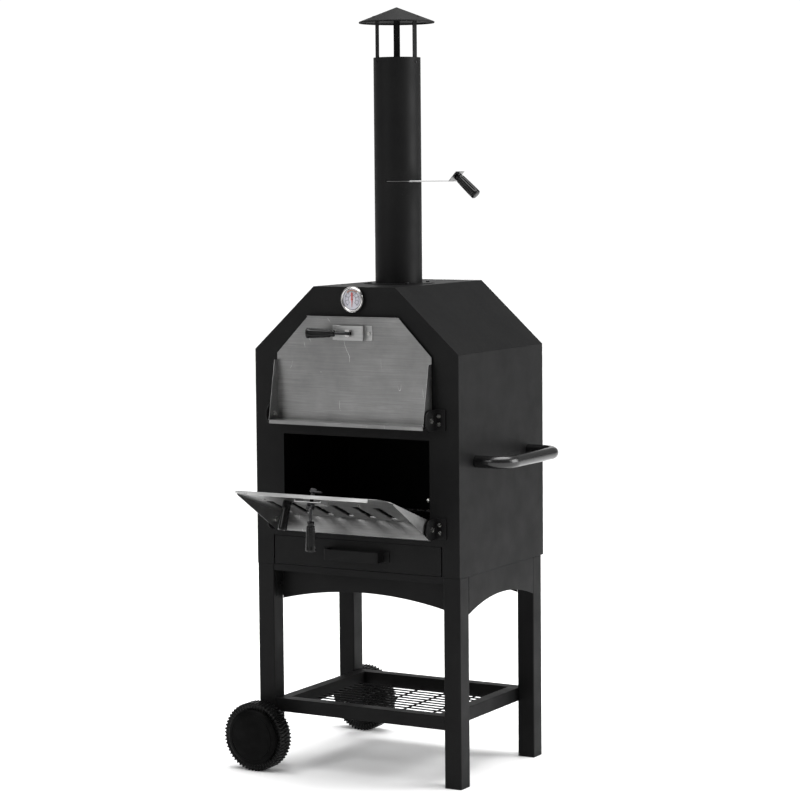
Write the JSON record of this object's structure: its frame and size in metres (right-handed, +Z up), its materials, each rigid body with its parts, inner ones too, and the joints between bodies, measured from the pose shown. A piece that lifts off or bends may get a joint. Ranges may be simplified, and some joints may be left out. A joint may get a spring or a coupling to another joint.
{
  "type": "wood fired pizza oven",
  "caption": "Freestanding wood fired pizza oven: sheet steel cabinet with cooking and fire doors, ash drawer, damped flue with cap, on a wheeled stand with a wire shelf.",
  "frame": {"origin": "on the ground, under the middle of the object's bounding box with the lower door open", "axes": "+Z up the chimney, -Y out of the door side, +X towards the side handle"},
  "size_m": [0.615, 0.6167, 1.58],
  "materials": {
    "powder_coat": "fine satin black powder coat",
    "stainless": "fine brushed",
    "zinc": "bright zinc plate",
    "chrome": "polished",
    "black_steel": "gloss black",
    "grip_plastic": "gloss black",
    "wheel_plastic": "moulded matt black",
    "cap_plastic": "smooth black",
    "dial_face": "printed enamel",
    "pointer_red": "gloss red",
    "dial_glass": "clear",
    "cordierite": "rough ceramic"
  },
  "bodies": {
    "oven": {"apron_back": "powder_coat", "apron_front": "powder_coat", "apron_left": "powder_coat", "apron_right": "powder_coat", "cabinet_fasteners": "zinc", "charcoal_grate": "stainless", "chimney_cap": "powder_coat", "chimney_collar": "powder_coat", "chimney_fasteners": "zinc", "chimney_struts": "powder_coat", "chimney_tube": "powder_coat", "drawer_runners": "powder_coat", "frame_fasteners": "zinc", "hinge_brackets": "powder_coat", "inner_rails": "powder_coat", "leg_back_left": "powder_coat", "leg_back_right": "powder_coat", "leg_front_left": "powder_coat", "leg_front_right": "powder_coat", "leg_plugs": "cap_plastic", "panel_back": "powder_coat", "panel_floor": "powder_coat", "panel_front": "powder_coat", "panel_left": "powder_coat", "panel_right": "powder_coat", "panel_roof": "powder_coat", "pizza_stone": "cordierite", "shelf_mesh": "powder_coat", "shelf_rail_back": "powder_coat", "shelf_rail_front": "powder_coat", "shelf_rail_left": "powder_coat", "shelf_rail_right": "powder_coat", "side_handle": "powder_coat", "stub_axles": "zinc", "thermometer_case": "chrome", "thermometer_dial": "dial_face", "thermometer_glass": "dial_glass"},
    "upper_door": {"upper_door_panel": "stainless", "upper_latch_strap": "stainless", "upper_door_fasteners": "zinc"},
    "upper_latch": {"upper_latch_spindle": "chrome"},
    "upper_handle": {"upper_handle_stem": "black_steel", "upper_handle_grip": "grip_plastic"},
    "lower_door": {"lower_door_panel": "stainless", "lower_latch_strap": "stainless", "lower_door_fasteners": "zinc"},
    "lower_latch": {"lower_latch_spindle": "chrome"},
    "lower_handle": {"lower_handle_stem": "black_steel", "lower_handle_grip": "grip_plastic"},
    "vent_shutter": {"vent_slider": "stainless", "vent_knob": "grip_plastic"},
    "ash_drawer": {"ash_drawer_pan": "powder_coat", "ash_drawer_pull": "powder_coat"},
    "damper": {"damper_plate": "stainless", "damper_handle": "grip_plastic"},
    "front_wheel": {"wheel_front": "wheel_plastic", "wheel_front_cap": "cap_plastic"},
    "back_wheel": {"wheel_back": "wheel_plastic", "wheel_back_cap": "cap_plastic"},
    "needle": {"thermometer_needle": "pointer_red"}
  },
  "joints": [
    {"name": "upper_door_hinge", "type": "hinge", "parent": "oven", "child": "upper_door", "pos_m": [-0.015, -0.1396, 0.745], "axis": [1, 0, 0], "range_deg": [0, 70]},
    {"name": "lower_door_hinge", "type": "hinge", "parent": "oven", "child": "lower_door", "pos_m": [-0.015, -0.1396, 0.5266], "axis": [1, 0, 0], "range_deg": [-70, 0]},
    {"name": "upper_latch_turn", "type": "hinge", "parent": "upper_door", "child": "upper_latch", "pos_m": [-0.015, -0.1396, 0.915], "axis": [0, -1, 0], "range_deg": [0, 90]},
    {"name": "upper_handle_fold", "type": "hinge", "parent": "upper_latch", "child": "upper_handle", "pos_m": [-0.015, -0.1426, 0.915], "axis": [0, 0, 1], "range_deg": [-10, 75]},
    {"name": "lower_latch_turn", "type": "hinge", "parent": "lower_door", "child": "lower_latch", "pos_m": [-0.015, -0.29183, 0.58201], "axis": [0, -0.342, -0.9397], "range_deg": [0, 90]},
    {"name": "lower_handle_fold", "type": "hinge", "parent": "lower_latch", "child": "lower_handle", "pos_m": [-0.015, -0.29286, 0.57919], "axis": [1, 0, 0], "range_deg": [-20, 65]},
    {"name": "vent_slide", "type": "slide", "parent": "lower_door", "child": "vent_shutter", "axis": [1, 0, 0], "range_m": [0, 0.022]},
    {"name": "ash_drawer_slide", "type": "slide", "parent": "oven", "child": "ash_drawer", "axis": [0, -1, 0], "range_m": [0, 0.28]},
    {"name": "damper_slide", "type": "slide", "parent": "oven", "child": "damper", "axis": [1, 0, 0], "range_m": [0, 0.085]},
    {"name": "front_wheel_spin", "type": "hinge", "parent": "oven", "child": "front_wheel", "pos_m": [-0.236, -0.1566, 0.0715], "axis": [0, 1, 0], "continuous": true},
    {"name": "back_wheel_spin", "type": "hinge", "parent": "oven", "child": "back_wheel", "pos_m": [-0.236, 0.2814, 0.0715], "axis": [0, 1, 0], "continuous": true},
    {"name": "thermometer_needle_turn", "type": "hinge", "parent": "oven", "child": "needle", "pos_m": [-0.015, -0.1251, 0.983], "axis": [0, -1, 0], "range_deg": [-135, 135], "stiffness_Nm_per_rad": 0.0005}
  ]
}
